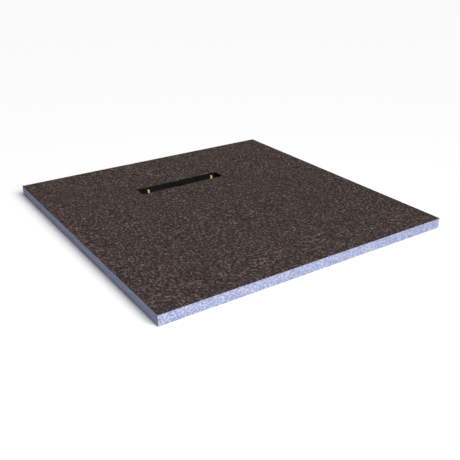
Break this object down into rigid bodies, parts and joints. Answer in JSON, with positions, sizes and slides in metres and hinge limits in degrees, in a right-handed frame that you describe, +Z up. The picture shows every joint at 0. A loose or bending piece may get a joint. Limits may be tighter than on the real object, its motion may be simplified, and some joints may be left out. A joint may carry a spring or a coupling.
{
  "type": "wet-room shower tray",
  "caption": "Square tile-ready wet-room floor tray with a four-way fall to a linear drain recess holding screw-adjustable brass cover posts.",
  "frame": {"origin": "centre of the underside, on the floor plane", "axes": "+Z up, X across the tray along the drain recess, +Y towards the edge nearest the drain recess"},
  "size_m": [1.2, 1.2, 0.04],
  "materials": {
    "foam": "cut extruded foam, blue-violet with pale cells",
    "mesh": "open glass-fibre mesh",
    "top_coat": "gritty dark brown-grey aggregate coat",
    "base_coat": "thin grey cement render with the mesh showing through",
    "black_plastic": "satin moulded black",
    "rubber": "soft black seal",
    "brass": "bright turned brass",
    "nylon": "natural nylon"
  },
  "bodies": {
    "root": {"foam_core": "foam", "top_mesh": "mesh", "top_coat": "top_coat", "base_mesh": "mesh", "base_coat": "base_coat", "drain_channel": "black_plastic", "flange_gasket": "rubber", "outlet_seal": "rubber", "post_studs": "brass"},
    "left_travel": {"left_friction_ring": "nylon"},
    "left_sleeve": {"left_levelling_sleeve": "brass"},
    "right_travel": {"right_friction_ring": "nylon"},
    "right_sleeve": {"right_levelling_sleeve": "brass"}
  },
  "joints": [
    {"name": "left_rise", "type": "slide", "parent": "root", "child": "left_travel", "axis": [0, 0, 1], "range_m": [0, 0.004]},
    {"name": "left_turn", "type": "hinge", "parent": "left_travel", "child": "left_sleeve", "pos_m": [-0.1575, 0.307, 0.0135], "axis": [0, 0, 1], "range_deg": [0, 1440]},
    {"name": "right_rise", "type": "slide", "parent": "root", "child": "right_travel", "axis": [0, 0, 1], "range_m": [0, 0.004]},
    {"name": "right_turn", "type": "hinge", "parent": "right_travel", "child": "right_sleeve", "pos_m": [0.1575, 0.307, 0.0135], "axis": [0, 0, 1], "range_deg": [0, 1440]}
  ],
  "couplings": [
    {"joint": "left_turn", "follows": "left_rise", "rad_per_m": 6283.2},
    {"joint": "right_turn", "follows": "right_rise", "rad_per_m": 6283.2}
  ]
}
